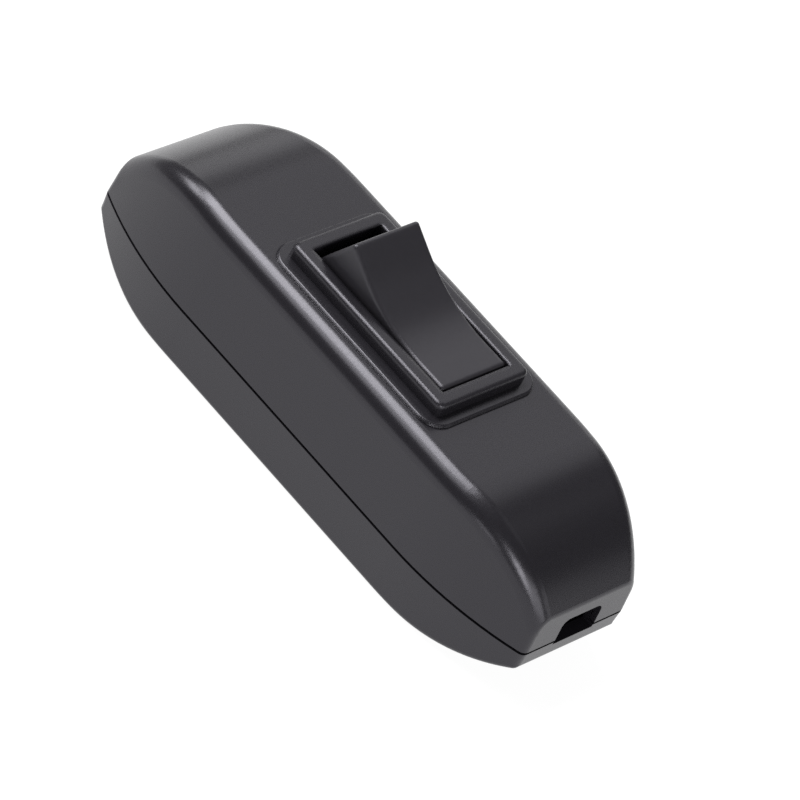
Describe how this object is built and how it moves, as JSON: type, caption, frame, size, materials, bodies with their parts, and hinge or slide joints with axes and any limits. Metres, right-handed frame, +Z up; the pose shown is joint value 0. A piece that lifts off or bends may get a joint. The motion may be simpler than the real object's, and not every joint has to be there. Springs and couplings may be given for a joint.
{
  "type": "inline cord switch",
  "caption": "Black moulded inline cord switch: domed two-part housing with a raised frame, a rocker, a cord entry at each end, and contacts, terminals and cord clamps inside.",
  "frame": {"origin": "on the resting face, below the middle of the housing", "axes": "+X along the housing towards the pressed end of the rocker, +Y across it, +Z up to the rocker"},
  "size_m": [0.084, 0.0274, 0.0306],
  "materials": {
    "housing_black": "satin black moulded plastic, finely grained",
    "rocker_black": "satin black moulded plastic",
    "plunger_nylon": "natural white moulded plastic",
    "contact_brass": "stamped brass strip",
    "contact_silver": "silver contact rivet",
    "plated_steel": "zinc plated steel",
    "spring_steel": "drawn spring wire"
  },
  "bodies": {
    "housing": {"upper_shell": "housing_black", "lower_cover": "housing_black", "fixed_contact_tip": "contact_silver", "pivot_terminal": "contact_brass", "fixed_terminal": "contact_brass", "neutral_link": "contact_brass", "wire_washer_1": "plated_steel", "wire_washer_2": "plated_steel", "wire_washer_3": "plated_steel", "wire_washer_4": "plated_steel", "terminal_screw_1": "plated_steel", "terminal_screw_2": "plated_steel", "terminal_screw_3": "plated_steel", "terminal_screw_4": "plated_steel", "clamp_screw_1": "plated_steel", "clamp_screw_2": "plated_steel", "clamp_screw_3": "plated_steel", "clamp_screw_4": "plated_steel", "cord_clamp_1": "housing_black", "cord_clamp_2": "housing_black", "case_screw_1": "plated_steel", "case_screw_2": "plated_steel"},
    "rocker": {"rocker": "rocker_black", "plunger_spring": "spring_steel"},
    "plunger": {"plunger": "plunger_nylon"},
    "seesaw": {"seesaw_contact": "contact_brass", "moving_contact_tip": "contact_silver"}
  },
  "joints": [
    {"name": "rocker_tilt", "type": "hinge", "parent": "housing", "child": "rocker", "pos_m": [0, 0, 0.0199], "axis": [0, 1, 0], "range_deg": [-30, 0]},
    {"name": "plunger_slide", "type": "slide", "parent": "rocker", "child": "plunger", "axis": [0.2588, 0, 0.9659], "range_m": [0, 0.0012], "stiffness_N_per_m": 500, "springref_m": -0.0015, "deforming": ["plunger_spring"]},
    {"name": "seesaw_tilt", "type": "hinge", "parent": "housing", "child": "seesaw", "pos_m": [0, 0, 0.0106], "axis": [0, 1, 0], "range_deg": [0, 20]}
  ],
  "couplings": [
    {"joint": "seesaw_tilt", "follows": "rocker_tilt", "ratio": -0.66666}
  ]
}
